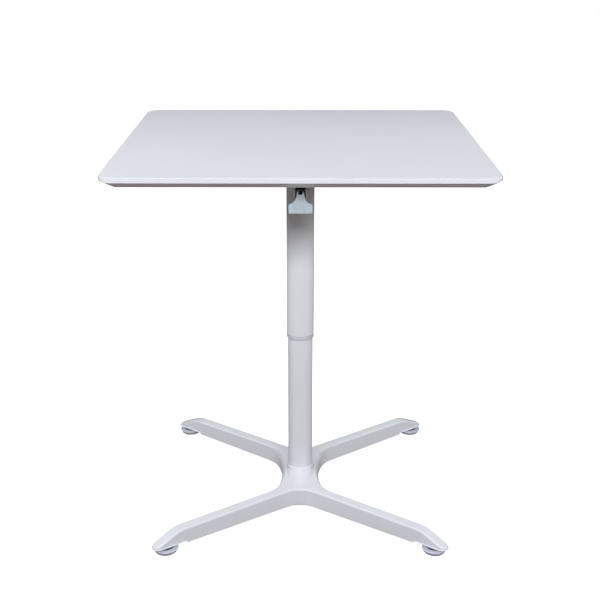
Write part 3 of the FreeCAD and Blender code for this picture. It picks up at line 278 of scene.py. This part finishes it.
MATERIALS = {
    "top_white": top_white(),
    "white_powder": powder("white_powder", (0.770, 0.785, 0.810), 640.0, 0.000022),
    "base_white": cast_coat("base_white", (0.790, 0.800, 0.836)),
    "head_alloy": cast_metal("head_alloy", (0.93, 0.95, 0.97)),
    "lever_metal": plated("lever_metal", (0.78, 0.91, 0.99), (0.26, 0.34), 0.85, (900.0, 60.0, 60.0)),
    "white_plastic": moulded("white_plastic", (0.62, 0.64, 0.675)),
    "grey_plastic": moulded("grey_plastic", (0.17, 0.18, 0.19)),
    "foot_plastic": foot_plastic("foot_plastic", (0.58, 0.62, 0.71)),
    "sole_grey": rubbery("sole_grey", (0.095, 0.105, 0.125)),
    "black_rubber": rubbery("black_rubber", (0.012, 0.012, 0.012)),
    "zinc_steel": plated("zinc_steel", (0.56, 0.575, 0.59)),
    "bare_steel": plated("bare_steel", (0.47, 0.475, 0.48), (0.22, 0.38), 1.0, (80.0, 80.0, 1400.0)),
    "black_steel": powder("black_steel", (0.018, 0.018, 0.019), 520.0, 0.00003, (0.40, 0.54)),
    "bare_aluminium": plated("bare_aluminium", (0.70, 0.71, 0.72), (0.24, 0.40), 1.0, (80.0, 80.0, 1200.0)),
    "chromed_rod": plated("chromed_rod", (0.66, 0.665, 0.67), (0.06, 0.12), 1.0, (40.0, 40.0, 1600.0), 0.000004),
}
for row in frame["record"]["subparts"]:
    mesh = NODES[row["node"]].data
    mesh.materials.clear()
    mesh.materials.append(MATERIALS[row["material_slot"]])

# ---------------------------------------------------------------- studio
def floor():
    """A plain pale floor just under the feet's longest reach, seen only from above, so that it doesn't hide the underside."""
    level = -0.0085
    half = 14.0
    mesh = bpy.data.meshes.new("floor")
    mesh.from_pydata([(-half, -half, level), (half, -half, level), (half, half, level), (-half, half, level)], [], [(0, 1, 2, 3)])
    o = bpy.data.objects.new("floor", mesh)
    scene.collection.objects.link(o)
    t = Tree("floor")
    t.link(t.mix(t.noise(0.8, 2.0, 0.5), (0.84, 0.84, 0.84), (0.86, 0.86, 0.86)), t.bsdf.inputs["Base Color"])
    t.set(Roughness=0.9, Emission_Color=(1, 1, 1, 1), Emission_Strength=1.0)
    clear = t.node("BsdfTransparent")
    pick = t.node("MixShader")
    side = t.node("NewGeometry")
    t.link(side.outputs["Backfacing"], pick.inputs[0])
    t.link(t.bsdf.outputs[0], pick.inputs[1])
    t.link(clear.outputs[0], pick.inputs[2])
    t.link(pick.outputs[0], t.out.inputs[0])
    mesh.materials.append(t.material)
    o.visible_diffuse = False
    o.visible_glossy = False
    o.visible_shadow = False


# softboxes: bearing in degrees from the lever's side, rise above the level, distance, width, height, watts
SOFTBOXES = (
    ("front_box", 0, 35, 3.6, 5.0, 0.60, 121.0),
    ("low_box", 0, 20, 3.6, 2.4, 0.45, 7.5),
    ("right_box", 82, 28, 3.2, 1.6, 0.80, 29.0),
    ("left_box", -82, 34, 3.2, 1.6, 0.80, 34.0),
    ("back_box", 180, 21, 3.4, 3.2, 0.60, 8.0),
    ("back_right_box", 140, 20, 3.4, 1.6, 1.0, 6.5),
    ("back_left_box", -140, 20, 3.4, 1.6, 1.0, 6.5),
)
# the room as seen from the table: warm bounce off the floor below, dark walls, dim ceiling
ROOM = ((-90, (0.245, 0.218, 0.211)), (-22, (0.245, 0.218, 0.211)), (0, (0.02, 0.02, 0.02)), (90, (0.08, 0.08, 0.083)))


def softbox(name, bearing, rise, distance, width, height, watts):
    light = bpy.data.lights.new(name, "AREA")
    light.shape = "RECTANGLE"
    light.size, light.size_y, light.energy = width, height, watts
    light.color = (0.965, 0.98, 1.02)
    turn, lift = math.radians(bearing), math.radians(rise)
    way = Vector((math.sin(turn) * math.cos(lift), -math.cos(turn) * math.cos(lift), math.sin(lift)))
    o = bpy.data.objects.new(name, light)
    o.location = Vector((0, 0, 0.45)) + way * distance
    o.rotation_euler = way.to_track_quat("Z", "Y").to_euler()
    o.visible_camera = False
    scene.collection.objects.link(o)
    return o


def world():
    """White to the eye; as light, a plain room whose shade goes with height only."""
    w = bpy.data.worlds.new("studio")
    w.use_nodes = True
    scene.world = w
    n, l = w.node_tree.nodes, w.node_tree.links
    n.clear()
    place = n.new("ShaderNodeTexCoord")
    split = n.new("ShaderNodeSeparateXYZ")
    l.new(place.outputs["Generated"], split.inputs[0])
    rise = n.new("ShaderNodeMath")
    rise.operation = "ARCSINE"
    l.new(split.outputs["Z"], rise.inputs[0])
    height = n.new("ShaderNodeMapRange")
    height.inputs["From Min"].default_value, height.inputs["From Max"].default_value = -math.pi / 2, math.pi / 2
    l.new(rise.outputs[0], height.inputs["Value"])
    room = n.new("ShaderNodeValToRGB")
    room.name = "room"
    l.new(height.outputs[0], room.inputs["Fac"])
    elements = room.color_ramp.elements
    for i, (degrees, colour) in enumerate(ROOM):
        position = degrees / 180.0 + 0.5
        e = elements[0] if i == 0 else elements[-1] if i == len(ROOM) - 1 else elements.new(position)
        e.position, e.color = position, colour + (1.0,)
    light = n.new("ShaderNodeBackground")
    l.new(room.outputs[0], light.inputs["Color"])
    seen = n.new("ShaderNodeBackground")
    seen.inputs["Color"].default_value = (1, 1, 1, 1)
    path = n.new("ShaderNodeLightPath")
    pick = n.new("ShaderNodeMixShader")
    l.new(path.outputs["Is Camera Ray"], pick.inputs[0])
    l.new(light.outputs[0], pick.inputs[1])
    l.new(seen.outputs[0], pick.inputs[2])
    l.new(pick.outputs[0], n.new("ShaderNodeOutputWorld").inputs[0])


for box in SOFTBOXES:
    softbox(*box)
floor()
world()
